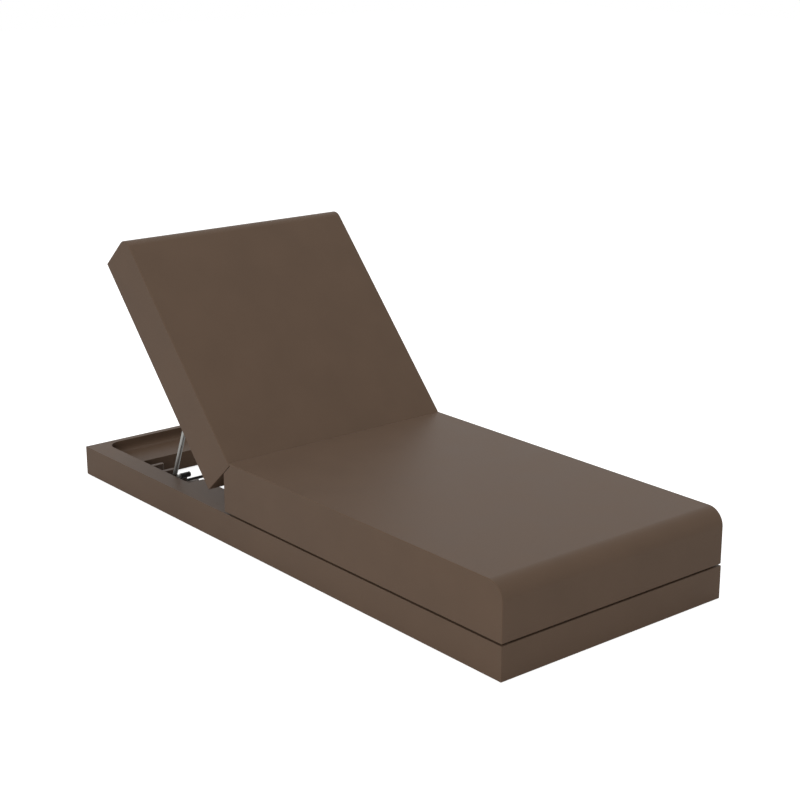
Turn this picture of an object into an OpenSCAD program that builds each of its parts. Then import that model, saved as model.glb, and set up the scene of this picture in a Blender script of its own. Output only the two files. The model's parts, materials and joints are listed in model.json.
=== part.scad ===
// Platform lounger: a low moulded base, a seat slab fixed on it over a shadow gap, and a
// backrest slab that tilts on two stainless hinges and is held up by a bent-rod prop.
// Origin: middle of the base on the floor. +X towards the foot end, +Z up.
// The model stands with the backrest raised. A flat backrest is the other end of its travel.

/* [Overall] */
// Length over the base
total_l = 2000; // [1800:10:2200]
// Width of base, seat and backrest
total_w = 800; // [740:10:900]

/* [Base] */
// Height of the base's rim above the floor
base_h = 96; // [90:1:110]
// Width of the rim along each side
side_rim_w = 65; // [60:1:80]
// Width of the rim across the head end
rear_rim_w = 22; // [20:1:40]
// Drop from the rim to the ledge at the head end
tray_drop = 36; // [34:1:42]
// How far the open well runs on under the seat
well_under_seat = 55; // [45:1:57]
// Width of the deck on each side of the well, in front of the racks
deck_w = 52; // [40:1:60]
// Radius of the cove where the tray's walls meet the ledge
cove_r = 20; // [10:1:30]
// Radius of the base's upright corners
corner_r = 5; // [4:1:12]
// Wall thickness of the hollow mouldings
wall_t = 6; // [5:0.5:7]

/* [Slabs] */
// Shadow gap between base and seat
shadow_gap = 5; // [4:0.5:8]
// Thickness of the seat slab
seat_t = 155; // [145:1:165]
// Radius of the roll at the foot end of the seat
foot_roll_r = 50; // [30:1:70]
// Height of the flat backrest above the rim
back_rim_gap = 7; // [6:0.5:10]
// Length of the backrest slab
back_l = 795; // [775:5:840]
// How far the flat backrest stops short of the head end
head_setback = 18; // [5:1:30]
// Radius of the backrest's top front edge
back_top_r = 35; // [20:1:50]
// Radius of the slabs' other edges
edge_r = 2.5; // [2:0.5:6]
// Gap between seat and flat backrest
joint_gap = 2; // [1.5:0.1:3]
// Inset of the plinth that carries the seat slab
plinth_inset = 14; // [10:1:20]

/* [Backrest tilt] */
// Angle of the raised backrest above flat
back_angle = 48; // [45:0.5:51]
// Depth of the hinge line below the seat surface
hinge_drop = 41.5; // [40:0.5:43]
// How far the hinge line lies in front of the backrest's end face
hinge_ahead = 8; // [7:0.5:9]
// Distance of each hinge from the middle
hinge_y = 250; // [220:5:280]
// Diameter of the hinge pins
pin_d = 12; // [10:1:14]

/* [Prop] */
// Diameter of the bent rod
rod_d = 14; // [12:1:15]
// Angle of the raised prop above level
prop_lean = 67.4; // [64:0.1:70]
// Solid land between the folded prop's bay and the head end of the backrest
bay_land = 28.5; // [20:0.5:40]
// Depth of the prop's axle inside the backrest
prop_in = 60; // [58:1:62]
// Distance of each leg from the well's side wall
leg_from_wall = 25; // [21:1:30]
// Length of each inturned foot
foot_l = 56; // [40:1:64]
// Gap between the raised prop's feet and the teeth
foot_gap = 5; // [4.5:0.1:8]

/* [Racks] */
// Distance from tooth to tooth
tooth_pitch = 70; // [64:1:72]
// Thickness of a tooth
tooth_t = 16; // [12:1:20]
// Reach of the teeth from the well's side wall
tooth_reach = 97; // [80:1:105]
// Distance from the prop's foot to the tooth behind it
foot_to_tooth = 42; // [35:1:45]
// Length of rack behind the last tooth, towards the well's rear wall
rack_head_end = 44; // [30:1:60]
// Length of rack in front of the first tooth, up to the side decks
rack_deck_end = 96; // [70:1:110]

/* [Hidden] */
$fn = 64;
overrun = 1;

// Heights and stations of the mouldings
glide_h = 2;
ledge_z = base_h - tray_drop;
seat_bottom = base_h + shadow_gap;
seat_top = seat_bottom + seat_t;
back_bottom = base_h + back_rim_gap;
back_t = seat_top - back_bottom;
half_l = total_l / 2;
half_w = total_w / 2;
well_half_w = half_w - side_rim_w;
tray_x = -half_l + rear_rim_w;
back_head_x = -half_l + head_setback;
back_x = back_head_x + back_l;
seat_x = back_x + joint_gap;
well_front_x = seat_x + well_under_seat;

// Small sizes of the mouldings
well_corner_r = 10;
tray_corner_r = 45;
plinth_step = 5;
plinth_rear_inset = well_under_seat + plinth_step;
vent_d = 12;
vent_flange_d = 20;
vent_flange_t = 1.5;
glide_d = 50;
glide_stem_d = 12;
glide_stations = [-half_l + side_rim_w, 0, half_l - side_rim_w];
glide_edge = 36;

// Seat fixings
bolt_d = 8;
bolt_clear = 1;
bolt_head_d = 13;
bolt_head_h = 8;
bolt_grip = 10;
bolt_in_seat = 14;
washer_d = 18;
washer_t = 1.6;
bolt_well_d = 36;
insert_d = 12;
insert_l = 16;
boss_d = 26;
boss_h = 24;
bolt_inset_x = 70;
bolt_inset_y = 100;
bolt_stations = [seat_x + plinth_rear_inset + bolt_inset_x, (seat_x + half_l) / 2,
    half_l - plinth_inset - bolt_inset_x];

// Hinges
hinge = [back_x + hinge_ahead, 0, seat_top - hinge_drop];
knuckle_r = 13;
tongue_r = 12;
tongue_t = 12;
bush_wall = 1;
bush_flange_t = 1;
bush_flange_d = 20;
bush_play = 0.05;
side_play = 0.2;
ear_t = 5;
ear_in = tongue_t / 2 + bush_flange_t + side_play;
pin_head_d = 18;
pin_head_h = 3;
pin_tail = 4;
clip_t = 1.2;
clip_groove = 1;
clip_d = 18;
clip_play = 0.3;
plate_t = 5;
plate_half_w = 30;
plate_up = 13;
plate_down = 20;
pocket_play = 3;
pocket_half_w = plate_half_w + pocket_play;
pocket_up = plate_up + pocket_play;
pocket_down = plate_down + pocket_play;
seat_pocket_l = 45;
back_pocket_l = 30;
pocket_floor_t = 18;
notch_gap = 1.2;
hinge_screw_d = 6;
hinge_head_d = 10;
hinge_head_h = 4;
hinge_insert_d = 9;
hinge_insert_l = 13;
hinge_screw_y = 22;
hinge_screw_rows = [-12, 5];

// Prop, its bay in the backrest and its saddles
rod_r = rod_d / 2;
cap_t = 1.5;
leg_y = well_half_w - leg_from_wall;
foot_z = ledge_z + foot_gap + rod_r + cap_t;
bay_end_play = 14;
// The axle stands where the folded legs just reach the land at the head end. For each length
// that it moves up the backrest it rises by sin(back_angle), and the legs grow with that rise.
axle_above_hinge = back_bottom + prop_in - hinge.z;
leg_at_hinge = (hinge.z + hinge_ahead * sin(back_angle) + axle_above_hinge * cos(back_angle)
    - foot_z) / sin(prop_lean);
prop_along = (back_l - bay_land - wall_t - bay_end_play - rod_r - leg_at_hinge)
    / (1 + sin(back_angle) / sin(prop_lean));
leg_l = leg_at_hinge + prop_along * sin(back_angle) / sin(prop_lean);
prop_flat = [back_x - prop_along, 0, back_bottom + prop_in];
prop_pivot = hinge + turned(prop_flat - hinge, back_angle);
foot_x = prop_pivot.x - leg_l * cos(prop_lean);
foot_bend_r = 18;
axle_bend_r = 24;
cap_from_bend = 4;
cap_l = foot_l - foot_bend_r - cap_from_bend;
bay_roof_play = 6;
bay_depth = prop_in + rod_r + bay_roof_play;
bay_play = 8;
bay_out = leg_y + rod_r + bay_play;
bay_in = leg_y - foot_l - cap_t - bay_play;
channel_half_l = 44;
saddle_y = 170;
saddle_w = 34;
saddle_l = 60;
saddle_wall = 6;
saddle_play = 0.06;
saddle_screw_x = 20;
saddle_screw_d = 6;
saddle_head_d = 10;
saddle_head_h = 4;
saddle_insert_d = 9;
saddle_insert_l = 13;
pad_t = 16;
buffer_d = 30;
buffer_gap = 0.3;
buffer_stem_d = 10;
buffer_stations = [back_x - 3 * buffer_d, back_head_x + 2 * buffer_d];
buffer_edge = side_rim_w / 2;

// Racks
rack_play = 1;
rack_plate_t = 6;
shelf_top = 30;
shelf_t = 16;
shelf_w = 66;
tooth_numbers = [-1 : 2];
rack_screw_d = 5;
rack_head_d = 9;
rack_head_h = 3;
rack_screw_tail = 3;
tie_d = 10;
tie_grip = 45;
tie_from_foot = 80;
tie_z = shelf_top - shelf_t / 2;
rack_screw_z = (shelf_top + ledge_z) / 2;
first_tooth_x = foot_x - foot_to_tooth + tooth_pitch;
last_tooth_x = foot_x - foot_to_tooth - 2 * tooth_pitch;
rack_x = last_tooth_x - rack_head_end;
rack_front_x = first_tooth_x + rack_deck_end;
well_x = rack_x - well_corner_r - rack_play;
deck_x = rack_front_x + rack_play;
rack_screw_stations = [for (i = tooth_numbers) foot_x - foot_to_tooth - (i - 1 / 2) * tooth_pitch];

// Colours
brown = [0.39, 0.32, 0.28];
dark_brown = [0.33, 0.27, 0.24];
steel = [0.72, 0.72, 0.7];
black = [0.1, 0.1, 0.1];
nylon = [0.85, 0.84, 0.8];
brass_tone = [0.75, 0.62, 0.35];

// A vector in the side plane, turned about the width axis
function turned(v, a) = [v.x * cos(a) + v.z * sin(a), v.y, -v.x * sin(a) + v.z * cos(a)];

module on_back() translate(hinge) rotate([0, back_angle, 0]) translate(-hinge) children();
module on_prop() translate(prop_pivot) rotate([0, -prop_lean, 0]) children();
module both_sides() { children(); mirror([0, 1, 0]) children(); }

module box3(lo, hi) translate(lo) cube(hi - lo);

// An outline in the side plane, carried across a width
module across(half) translate([0, half, 0]) rotate([90, 0, 0]) linear_extrude(2 * half) children();
// An outline in the end plane, carried along the length
module along(x0, x1) translate([x0, 0, 0]) rotate([90, 0, 90]) linear_extrude(x1 - x0) children();
// A cylinder that lies along the width
module bar(y0, y1, r) translate([0, y0, 0]) rotate([-90, 0, 0]) cylinder(r = r, h = y1 - y0);
// A cylinder that lies along the length
module rod_x(x0, x1, r) translate([x0, 0, 0]) rotate([0, 90, 0]) cylinder(r = r, h = x1 - x0);

module rounded_rect(lo, hi, r) {
    translate(lo + [r, 0]) square([hi.x - lo.x - 2 * r, hi.y - lo.y]);
    translate(lo + [0, r]) square([hi.x - lo.x, hi.y - lo.y - 2 * r]);
    for (x = [lo.x + r, hi.x - r], y = [lo.y + r, hi.y - r]) translate([x, y]) circle(r);
}

// What a round upper right corner takes off an outline
module corner_waste(centre, r) difference() {
    translate(centre) square(r + overrun);
    translate(centre) circle(r);
}

module screw(d, l, head_d, head_h) {
    cylinder(d = d, h = l);
    difference() {
        translate([0, 0, -head_h]) cylinder(d = head_d, h = head_h);
        translate([0, 0, -head_h - overrun])
            cylinder(d = head_d / 2, h = head_h / 2 + overrun, $fn = 6);
    }
}

// Base

module well_outline(grow) difference() {
    rounded_rect([well_x - grow, -well_half_w - grow],
        [well_front_x + grow, well_half_w + grow], well_corner_r);
    for (s = [-1, 1]) translate([deck_x + grow, s * well_half_w - deck_w + grow])
        square([well_front_x - deck_x, 2 * (deck_w - grow)]);
}

module tray_cut(grow) intersection() {
    across(half_w) rounded_rect([tray_x - grow, ledge_z - grow],
        [well_x + cove_r + grow, base_h + 2 * cove_r], cove_r);
    along(tray_x - grow, well_x + cove_r) rounded_rect([-well_half_w - grow, ledge_z - grow],
        [well_half_w + grow, base_h + 2 * cove_r], cove_r);
    translate([0, 0, ledge_z - grow]) linear_extrude(tray_drop + 2 * cove_r)
        rounded_rect([tray_x - grow, -well_half_w - grow],
            [well_x + cove_r, well_half_w + grow], tray_corner_r);
}

module at_bolts() for (x = bolt_stations, y = [-half_w + bolt_inset_y, half_w - bolt_inset_y])
    translate([x, y, 0]) children();

module at_glides() for (x = glide_stations, y = [-half_w + glide_edge, half_w - glide_edge])
    translate([x, y, 0]) children();

vent_base = [half_l - 2 * side_rim_w, 0, glide_h];

module base_frame() color(brown) difference() {
    intersection() {
        translate([0, 0, glide_h]) linear_extrude(base_h - glide_h)
            rounded_rect([-half_l, -half_w], [half_l, half_w], corner_r);
        along(-half_l, half_l) rounded_rect([-half_w, glide_h], [half_w, base_h], edge_r);
        across(half_w) rounded_rect([-half_l, glide_h], [half_l, base_h], edge_r);
    }
    tray_cut(0);
    linear_extrude(base_h + overrun) well_outline(0);
    base_hollow();
    at_bolts() cylinder(d = bolt_well_d, h = base_h - bolt_grip);
    at_bolts() cylinder(d = bolt_d + bolt_clear, h = base_h + overrun);
    at_glides() cylinder(d = glide_stem_d, h = glide_h + wall_t + overrun);
    translate(vent_base) cylinder(d = vent_d, h = wall_t + overrun);
    for (x = rack_screw_stations) translate([x, 0, rack_screw_z])
        bar(-well_half_w - wall_t - overrun, well_half_w + wall_t + overrun, rack_screw_d / 2);
}

module base_hollow() difference() {
    box3([-half_l + wall_t, -half_w + wall_t, glide_h + wall_t],
        [half_l - wall_t, half_w - wall_t, base_h - wall_t]);
    tray_cut(wall_t);
    linear_extrude(base_h) well_outline(wall_t);
    at_bolts() cylinder(d = bolt_well_d + 2 * wall_t, h = base_h);
}

module base_glides() color(black) at_glides() {
    cylinder(d = glide_d, h = glide_h);
    cylinder(d = glide_stem_d, h = glide_h + wall_t);
}

module plug() {
    translate([0, 0, -vent_flange_t]) cylinder(d = vent_flange_d, h = vent_flange_t);
    cylinder(d = vent_d, h = wall_t);
}

module base_vent_plug() color(black) translate(vent_base) plug();

// Racks

module rack_side() {
    side = -well_half_w;
    difference() {
        union() {
            box3([rack_x, side, shelf_top - shelf_t],
                [rack_front_x, side + rack_plate_t, ledge_z]);
            box3([rack_x, side, shelf_top - shelf_t],
                [rack_front_x, side + shelf_w, shelf_top]);
            for (i = tooth_numbers) translate([foot_x - foot_to_tooth - i * tooth_pitch, 0, 0])
                tooth(side);
        }
        for (x = rack_screw_stations) translate([x, 0, rack_screw_z])
            bar(side - overrun, side + rack_plate_t + overrun, rack_screw_d / 2);
        translate([foot_x - tie_from_foot, 0, tie_z])
            bar(side + shelf_w - tie_grip, side + shelf_w + overrun, tie_d / 2);
    }
}

module tooth(side) translate([0, 0, shelf_top - shelf_t / 2])
    linear_extrude(ledge_z - shelf_top + shelf_t / 2) {
        translate([-tooth_t / 2, side]) square([tooth_t, tooth_reach - tooth_t / 2]);
        translate([0, side + tooth_reach - tooth_t / 2]) circle(d = tooth_t);
    }

module near_prop_rack() color(dark_brown) rack_side();
module far_prop_rack() color(dark_brown) mirror([0, 1, 0]) rack_side();

module rack_screws() color(steel) both_sides() for (x = rack_screw_stations)
    translate([x, -well_half_w + rack_plate_t, rack_screw_z]) rotate([90, 0, 0])
        screw(rack_screw_d, rack_plate_t + wall_t + rack_screw_tail, rack_head_d, rack_head_h);

module rack_tie_rod() color(black) translate([foot_x - tie_from_foot, 0, tie_z])
    bar(-well_half_w + shelf_w - tie_grip, well_half_w - shelf_w + tie_grip, tie_d / 2);

// Seat

// The space that the raised backrest's lower corner needs, grown by a gap
module corner_space(gap) translate(flat_corner()) rotate(180 - back_angle)
    translate([-gap, -gap]) square(back_t);

function flat_corner() = let (c = hinge + turned([-hinge_ahead, 0, hinge_drop], back_angle))
    [c.x, c.z];

module seat_outline(inset) difference() {
    rounded_rect([seat_x + inset, seat_bottom + inset], [half_l - inset, seat_top - inset], edge_r);
    corner_waste([half_l - foot_roll_r, seat_top - foot_roll_r], foot_roll_r - inset);
    corner_space(notch_gap + inset);
}

module hinge_pocket_seat(grow, floor_grow) for (s = [-1, 1])
    box3([seat_x - overrun, s * hinge_y - pocket_half_w - grow, hinge.z - pocket_down - grow],
        [seat_x + seat_pocket_l + floor_grow, s * hinge_y + pocket_half_w + grow,
            hinge.z + pocket_up + grow]);

vent_seat = [seat_x + plinth_rear_inset / 2, 0, seat_bottom];

module seat_shell() color(brown) difference() {
    union() {
        intersection() {
            across(half_w) seat_outline(0);
            along(seat_x, half_l) rounded_rect([-half_w, seat_bottom], [half_w, seat_top], edge_r);
            translate([0, 0, seat_bottom]) linear_extrude(seat_t)
                rounded_rect([seat_x, -half_w], [half_l, half_w], corner_r);
        }
        translate([0, 0, base_h]) linear_extrude(shadow_gap + wall_t)
            rounded_rect([seat_x + plinth_rear_inset, -half_w + plinth_inset],
                [half_l - plinth_inset, half_w - plinth_inset], corner_r);
    }
    difference() {
        across(half_w - wall_t) seat_outline(wall_t);
        hinge_pocket_seat(wall_t, pocket_floor_t);
        at_bolts() translate([0, 0, base_h]) cylinder(d = boss_d, h = boss_h + shadow_gap);
    }
    hinge_pocket_seat(0, 0);
    at_bolts() translate([0, 0, base_h - overrun]) cylinder(d = insert_d, h = insert_l + overrun);
    at_hinge_screws() rod_x(seat_x + seat_pocket_l - overrun,
        seat_x + seat_pocket_l + hinge_insert_l, hinge_insert_d / 2);
    translate(vent_seat) cylinder(d = vent_d, h = wall_t + overrun);
}

module seat_vent_plug() color(black) translate(vent_seat) plug();

module seat_inserts() color(brass_tone) at_bolts() translate([0, 0, base_h]) difference() {
    cylinder(d = insert_d, h = insert_l);
    translate([0, 0, -overrun]) cylinder(d = bolt_d, h = insert_l + 2 * overrun);
}

module seat_bolts() color(steel) at_bolts() translate([0, 0, base_h - bolt_grip - washer_t])
    screw(bolt_d, washer_t + bolt_grip + bolt_in_seat, bolt_head_d, bolt_head_h);

module seat_bolt_washers() color(steel) at_bolts()
    translate([0, 0, base_h - bolt_grip - washer_t]) difference() {
        cylinder(d = washer_d, h = washer_t);
        translate([0, 0, -overrun]) cylinder(d = bolt_d, h = washer_t + 2 * overrun);
    }

// Hinges

module at_hinge_screws() for (s = [-1, 1], y = [-hinge_screw_y, hinge_screw_y],
    z = hinge_screw_rows) translate([0, s * hinge_y + y, hinge.z + z]) children();

module seat_bracket() {
    floor_x = seat_x + seat_pocket_l;
    difference() {
        union() {
            box3([floor_x - plate_t, -plate_half_w, hinge.z - plate_down],
                [floor_x, plate_half_w, hinge.z + plate_up]);
            for (s = [-1, 1]) translate([0, s * (ear_in + ear_t / 2), 0]) across(ear_t / 2) {
                translate([hinge.x, hinge.z]) circle(knuckle_r);
                translate([hinge.x, hinge.z - knuckle_r])
                    square([floor_x - plate_t / 2 - hinge.x, 2 * knuckle_r]);
            }
        }
        translate(hinge) bar(-plate_half_w, plate_half_w, pin_d / 2);
        for (y = [-hinge_screw_y, hinge_screw_y], z = hinge_screw_rows)
            translate([0, y, hinge.z + z])
                rod_x(floor_x - plate_t - overrun, floor_x + overrun, hinge_screw_d / 2);
    }
}

module near_seat_hinge_bracket() color(steel) translate([0, -hinge_y, 0]) seat_bracket();
module far_seat_hinge_bracket() color(steel) translate([0, hinge_y, 0]) seat_bracket();

module tube_x(x0, x1, d_out, d_in) difference() {
    rod_x(x0, x1, d_out / 2);
    rod_x(x0 - overrun, x1 + overrun, d_in / 2);
}

module seat_bracket_inserts() color(brass_tone) at_hinge_screws()
    tube_x(seat_x + seat_pocket_l, seat_x + seat_pocket_l + hinge_insert_l,
        hinge_insert_d, hinge_screw_d);

module seat_bracket_screws() color(steel) at_hinge_screws()
    translate([seat_x + seat_pocket_l - plate_t, 0, 0]) rotate([0, 90, 0])
        screw(hinge_screw_d, plate_t + hinge_insert_l, hinge_head_d, hinge_head_h);

// Pin with its head outwards and a groove for the clip at its inner end
module hinge_pin() {
    reach = ear_in + ear_t;
    translate(hinge) difference() {
        union() {
            bar(-reach - pin_head_h, -reach, pin_head_d / 2);
            bar(-reach, reach + pin_tail, pin_d / 2);
        }
        difference() {
            bar(reach + clip_play, reach + clip_play + clip_t, pin_d);
            bar(reach, reach + pin_tail, pin_d / 2 - clip_groove);
        }
    }
}

module near_hinge_pin() color(steel) translate([0, -hinge_y, 0]) hinge_pin();
module far_hinge_pin() color(steel) translate([0, hinge_y, 0]) mirror([0, 1, 0]) hinge_pin();

module hinge_pin_clips() color(steel) both_sides() translate(hinge - [0, hinge_y, 0]) {
    start = ear_in + ear_t + clip_play;
    difference() {
        bar(start, start + clip_t, clip_d / 2);
        bar(start - overrun, start + clip_t + overrun, pin_d / 2 - clip_groove);
        translate([-pin_d / 4, start - overrun, -clip_d])
            cube([pin_d / 2, clip_t + 2 * overrun, clip_d]);
    }
}

// Backrest, drawn flat and tilted up about the hinge line

module back_outline(inset) difference() {
    rounded_rect([back_head_x + inset, back_bottom + inset],
        [back_x - inset, seat_top - inset], edge_r);
    translate([back_head_x + back_top_r, seat_top - back_top_r]) mirror([1, 0])
        corner_waste([0, 0], back_top_r - inset);
}

module hinge_pocket_back(grow, floor_grow) for (s = [-1, 1])
    box3([back_x - back_pocket_l - floor_grow, s * hinge_y - pocket_half_w - grow,
        hinge.z - pocket_down - grow],
        [back_x + overrun, s * hinge_y + pocket_half_w + grow, hinge.z + pocket_up + grow]);

// The bay that the prop folds into: a channel for the axle and a bay for each leg and foot
module prop_bay(grow) {
    roof = back_bottom + bay_depth + grow;
    floor_z = back_bottom - overrun;
    head_x = prop_flat.x - leg_l - rod_r - bay_end_play;
    box3([prop_flat.x - channel_half_l - grow, -bay_out - grow, floor_z],
        [prop_flat.x + channel_half_l + grow, bay_out + grow, roof]);
    for (s = [-1, 1]) translate([0, s * (bay_out + bay_in) / 2, 0])
        box3([head_x - grow, -(bay_out - bay_in) / 2 - grow, floor_z],
            [prop_flat.x, (bay_out - bay_in) / 2 + grow, roof]);
}

module at_saddles() for (y = [-saddle_y, saddle_y]) translate([prop_flat.x, y, prop_flat.z])
    children();

module at_saddle_screws() for (x = [-saddle_screw_x, saddle_screw_x]) translate([x, 0, 0])
    children();

module at_buffers() for (x = buffer_stations, y = [-half_w + buffer_edge, half_w - buffer_edge])
    translate([x, y, back_bottom]) children();

vent_back = [back_head_x + 2 * buffer_d, 0, back_bottom];
bay_roof = back_bottom + bay_depth - prop_flat.z;

module back_shell() color(brown) on_back() difference() {
    intersection() {
        across(half_w) back_outline(0);
        along(back_head_x, back_x)
            rounded_rect([-half_w, back_bottom], [half_w, seat_top], edge_r);
        translate([0, 0, back_bottom]) linear_extrude(back_t)
            rounded_rect([back_head_x, -half_w], [back_x, half_w], corner_r);
    }
    difference() {
        across(half_w - wall_t) back_outline(wall_t);
        hinge_pocket_back(wall_t, pocket_floor_t);
        prop_bay(wall_t);
        at_saddles() box3([-saddle_l / 2, -saddle_w / 2, bay_roof],
            [saddle_l / 2, saddle_w / 2, bay_roof + pad_t]);
    }
    hinge_pocket_back(0, 0);
    prop_bay(0);
    at_hinge_screws() rod_x(back_x - back_pocket_l - hinge_insert_l,
        back_x - back_pocket_l + overrun, hinge_insert_d / 2);
    at_saddles() at_saddle_screws() translate([0, 0, bay_roof - overrun])
        cylinder(d = saddle_insert_d, h = saddle_insert_l + overrun);
    at_buffers() cylinder(d = buffer_stem_d, h = wall_t + overrun);
    translate(vent_back) cylinder(d = vent_d, h = wall_t + overrun);
}

module back_vent_plug() color(black) on_back() translate(vent_back) plug();

module back_buffers() color(black) on_back() at_buffers() {
    height = back_bottom - base_h - buffer_gap;
    translate([0, 0, -height]) cylinder(d = buffer_d, h = height);
    cylinder(d = buffer_stem_d, h = wall_t);
}

module back_tongue() {
    floor_x = back_x - back_pocket_l;
    difference() {
        union() {
            box3([floor_x, -plate_half_w, hinge.z - plate_down],
                [floor_x + plate_t, plate_half_w, hinge.z + plate_up]);
            across(tongue_t / 2) {
                translate([hinge.x, hinge.z]) circle(tongue_r);
                translate([floor_x + plate_t / 2, hinge.z - tongue_r])
                    square([hinge.x - floor_x - plate_t / 2, 2 * tongue_r]);
            }
        }
        translate(hinge) bar(-plate_half_w, plate_half_w, pin_d / 2 + bush_play + bush_wall);
        for (y = [-hinge_screw_y, hinge_screw_y], z = hinge_screw_rows)
            translate([0, y, hinge.z + z])
                rod_x(floor_x - overrun, floor_x + plate_t + overrun, hinge_screw_d / 2);
    }
}

module near_back_hinge_tongue() color(steel) on_back() translate([0, -hinge_y, 0]) back_tongue();
module far_back_hinge_tongue() color(steel) on_back() translate([0, hinge_y, 0]) back_tongue();

// Two flanged half bushes, pressed into the tongue from either side
module bush_pair() translate(hinge) both_sides() difference() {
    union() {
        bar(0, tongue_t / 2, pin_d / 2 + bush_play + bush_wall);
        bar(tongue_t / 2, tongue_t / 2 + bush_flange_t, bush_flange_d / 2);
    }
    bar(-overrun, tongue_t, pin_d / 2 + bush_play);
}

module near_hinge_bushes() color(nylon) on_back() translate([0, -hinge_y, 0]) bush_pair();
module far_hinge_bushes() color(nylon) on_back() translate([0, hinge_y, 0]) bush_pair();

module back_tongue_inserts() color(brass_tone) on_back() at_hinge_screws()
    tube_x(back_x - back_pocket_l - hinge_insert_l, back_x - back_pocket_l,
        hinge_insert_d, hinge_screw_d);

module back_tongue_screws() color(steel) on_back() at_hinge_screws()
    translate([back_x - back_pocket_l + plate_t, 0, 0]) rotate([0, -90, 0])
        screw(hinge_screw_d, plate_t + hinge_insert_l, hinge_head_d, hinge_head_h);

// Saddles: a block on the bay's roof and a cap under the axle, bored together

module saddle_half(z0, z1) difference() {
    box3([-saddle_l / 2, -saddle_w / 2, z0], [saddle_l / 2, saddle_w / 2, z1]);
    bar(-saddle_w, saddle_w, rod_r + saddle_play);
    at_saddle_screws() translate([0, 0, z0 - overrun])
        cylinder(d = saddle_screw_d, h = z1 - z0 + 2 * overrun);
}

module prop_saddle_bases() color(black) on_back() at_saddles() saddle_half(0, bay_roof);
module prop_saddle_caps() color(black) on_back() at_saddles()
    saddle_half(-rod_r - saddle_wall, 0);

module prop_saddle_inserts() color(brass_tone) on_back() at_saddles() at_saddle_screws()
    translate([0, 0, bay_roof]) difference() {
        cylinder(d = saddle_insert_d, h = saddle_insert_l);
        translate([0, 0, -overrun])
            cylinder(d = saddle_screw_d, h = saddle_insert_l + 2 * overrun);
    }

module prop_saddle_screws() color(steel) on_back() at_saddles() at_saddle_screws()
    translate([0, 0, -rod_r - saddle_wall])
        screw(saddle_screw_d, rod_r + saddle_wall + bay_roof + saddle_insert_l,
            saddle_head_d, saddle_head_h);

// Prop: one rod bent to a bail, with its feet turned in

module bend(r) rotate_extrude(angle = 90) translate([r, 0]) circle(rod_r);

module half_bail() {
    rod_x(-leg_l + foot_bend_r, -axle_bend_r, rod_r);
    translate([-axle_bend_r, axle_bend_r, 0]) rotate([0, 0, -90]) bend(axle_bend_r);
    translate([-leg_l + foot_bend_r, foot_bend_r, 0]) rotate([0, 0, 180]) bend(foot_bend_r);
    translate([-leg_l, 0, 0]) bar(foot_bend_r, foot_l, rod_r);
    bar(axle_bend_r, leg_y, rod_r);
}

module prop_bail() color(steel) on_prop() both_sides() translate([0, -leg_y, 0]) half_bail();

module foot_cap() translate([-leg_l, -leg_y + foot_l, 0]) {
    difference() {
        bar(-cap_l, cap_t, rod_r + cap_t);
        bar(-cap_l - overrun, 0, rod_r);
    }
}

module near_prop_foot_cap() color(black) on_prop() foot_cap();
module far_prop_foot_cap() color(black) on_prop() mirror([0, 1, 0]) foot_cap();

base_frame();
base_glides();
base_vent_plug();
near_prop_rack();
far_prop_rack();
rack_screws();
rack_tie_rod();
seat_shell();
seat_vent_plug();
seat_inserts();
seat_bolts();
seat_bolt_washers();
near_seat_hinge_bracket();
far_seat_hinge_bracket();
seat_bracket_inserts();
seat_bracket_screws();
near_hinge_pin();
far_hinge_pin();
hinge_pin_clips();
back_shell();
back_vent_plug();
back_buffers();
near_back_hinge_tongue();
far_back_hinge_tongue();
near_hinge_bushes();
far_hinge_bushes();
back_tongue_inserts();
back_tongue_screws();
prop_saddle_bases();
prop_saddle_caps();
prop_saddle_inserts();
prop_saddle_screws();
prop_bail();
near_prop_foot_cap();
far_prop_foot_cap();
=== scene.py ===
"""The looks of a platform lounger: moulded slabs and base, prop racks, bent-rod prop and hinges.

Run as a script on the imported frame. Every size is in metres, in the frame's own axes:
+X towards the foot end, +Y to the far side, +Z up, with the backrest raised.
"""

import json
import math

import bmesh
import bpy
from bpy.props import FloatProperty, FloatVectorProperty, PointerProperty, StringProperty
from mathutils import Matrix, Vector


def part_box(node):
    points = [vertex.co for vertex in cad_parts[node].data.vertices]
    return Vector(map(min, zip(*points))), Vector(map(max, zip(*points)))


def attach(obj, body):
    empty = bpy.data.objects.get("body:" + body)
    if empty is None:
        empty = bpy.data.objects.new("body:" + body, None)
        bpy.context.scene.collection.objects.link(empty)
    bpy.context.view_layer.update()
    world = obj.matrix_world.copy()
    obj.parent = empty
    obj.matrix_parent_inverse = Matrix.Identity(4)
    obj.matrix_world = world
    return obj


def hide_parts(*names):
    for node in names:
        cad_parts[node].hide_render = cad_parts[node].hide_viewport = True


bl_info = {
    "name": "Platform lounger",
    "version": (1, 0, 0),
    "blender": (4, 5, 0),
    "location": "3D View > Sidebar > Lounger",
    "description": "Dresses a packed platform lounger in moulded, bent and turned pieces",
    "category": "Object",
}

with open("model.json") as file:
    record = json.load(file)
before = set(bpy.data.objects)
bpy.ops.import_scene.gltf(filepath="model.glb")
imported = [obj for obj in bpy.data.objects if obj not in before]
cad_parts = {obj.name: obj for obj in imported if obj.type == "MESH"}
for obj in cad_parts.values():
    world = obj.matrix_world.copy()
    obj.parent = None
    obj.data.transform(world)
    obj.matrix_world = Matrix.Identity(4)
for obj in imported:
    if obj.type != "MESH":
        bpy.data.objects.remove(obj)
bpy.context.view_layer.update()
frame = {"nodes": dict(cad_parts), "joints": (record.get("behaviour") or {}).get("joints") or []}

MM = 0.001

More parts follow.
